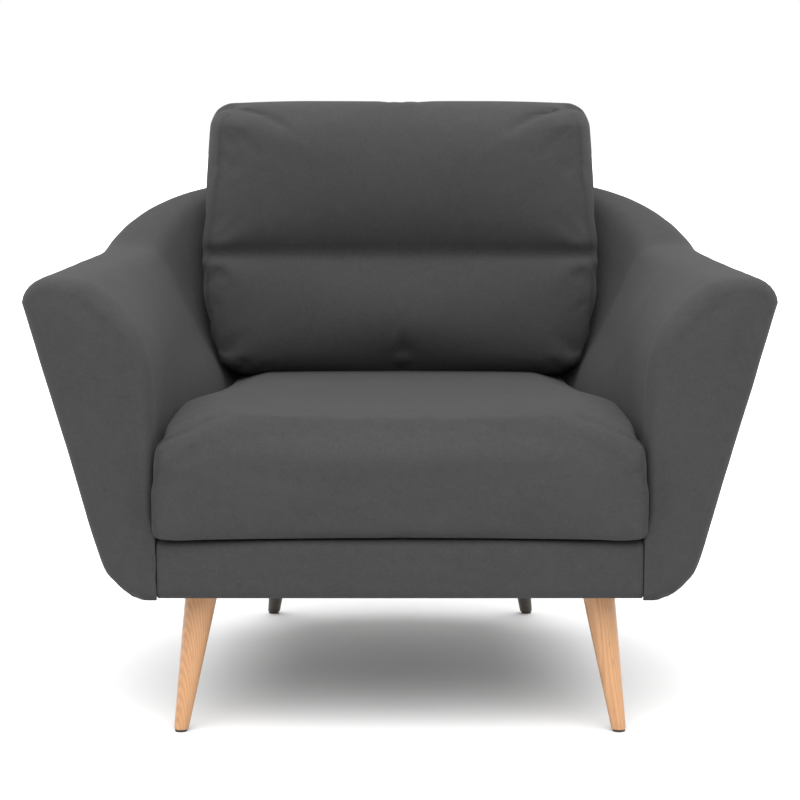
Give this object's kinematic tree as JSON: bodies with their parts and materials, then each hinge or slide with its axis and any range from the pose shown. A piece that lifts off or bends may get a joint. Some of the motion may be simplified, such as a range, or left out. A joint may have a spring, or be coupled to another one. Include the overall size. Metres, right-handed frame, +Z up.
{
  "type": "upholstered armchair",
  "caption": "Low tub armchair with flared arms swept into a round back, a loose bullnose seat cushion, a loose two-lobe back cushion and splayed round legs.",
  "frame": {"origin": "on the floor under the middle of the chair's bounding box", "axes": "+X to the right seen from the front, +Y from the front to the back, +Z up"},
  "size_m": [1.0324, 0.886, 0.877],
  "materials": {
    "charcoal_cloth": "woven melange cloth",
    "foam": "open-cell foam and wadding",
    "wadding": "fibre filling",
    "plywood": "plain",
    "frame_timber": "sawn",
    "oiled_beech": "oiled satin",
    "zinc_steel": "zinc plated",
    "nylon": "matt",
    "grey_felt": "felt",
    "black_cloth": "non-woven and tape"
  },
  "bodies": {
    "frame": {"left_arm_cover": "charcoal_cloth", "back_cover": "charcoal_cloth", "right_arm_cover": "charcoal_cloth", "front_border_cover": "charcoal_cloth", "left_arm_foam": "foam", "back_foam": "foam", "right_arm_foam": "foam", "front_pad": "foam", "left_arm_front_board": "plywood", "right_arm_front_board": "plywood", "left_wing_board": "plywood", "right_wing_board": "plywood", "left_arm_top_board": "plywood", "right_arm_top_board": "plywood", "back_top_board": "plywood", "front_rail": "frame_timber", "left_side_rail": "frame_timber", "right_side_rail": "frame_timber", "rear_rail": "frame_timber", "leg_block_front_left": "frame_timber", "leg_block_front_right": "frame_timber", "leg_block_rear_left": "frame_timber", "leg_block_rear_right": "frame_timber", "leg_front_left": "oiled_beech", "leg_front_right": "oiled_beech", "leg_rear_left": "oiled_beech", "leg_rear_right": "oiled_beech", "leg_plate_front_left": "zinc_steel", "leg_plate_front_right": "zinc_steel", "leg_plate_rear_left": "zinc_steel", "leg_plate_rear_right": "zinc_steel", "hanger_bolt_front_left": "zinc_steel", "hanger_bolt_front_right": "zinc_steel", "hanger_bolt_rear_left": "zinc_steel", "hanger_bolt_rear_right": "zinc_steel", "glide_front_left": "nylon", "glide_front_right": "nylon", "glide_rear_left": "nylon", "glide_rear_right": "nylon", "seat_spring_1": "zinc_steel", "seat_spring_2": "zinc_steel", "seat_spring_3": "zinc_steel", "seat_spring_4": "zinc_steel", "seat_spring_5": "zinc_steel", "seat_deck": "grey_felt", "dust_cover": "black_cloth"},
    "seat_cushion": {"seat_cushion_cover": "charcoal_cloth", "seat_cushion_foam": "foam", "seat_zip": "black_cloth"},
    "seat_slider": {"seat_zip_slider": "zinc_steel"},
    "back_cushion": {"back_cushion_cover": "charcoal_cloth", "back_cushion_lower_fill": "wadding", "back_cushion_upper_fill": "wadding", "back_zip": "black_cloth"},
    "back_slider": {"back_zip_slider": "zinc_steel"}
  },
  "joints": [
    {"name": "seat_cushion_pull", "type": "slide", "parent": "frame", "child": "seat_cushion", "axis": [0, -1, 0], "range_m": [0, 0.72]},
    {"name": "back_cushion_lift", "type": "slide", "parent": "frame", "child": "back_cushion", "axis": [0, 0, 1], "range_m": [0, 0.5]},
    {"name": "seat_zip_run", "type": "slide", "parent": "seat_cushion", "child": "seat_slider", "axis": [1, 0, 0], "range_m": [0, 0.3]},
    {"name": "back_zip_run", "type": "slide", "parent": "back_cushion", "child": "back_slider", "axis": [1, 0, 0], "range_m": [0, 0.3]}
  ]
}
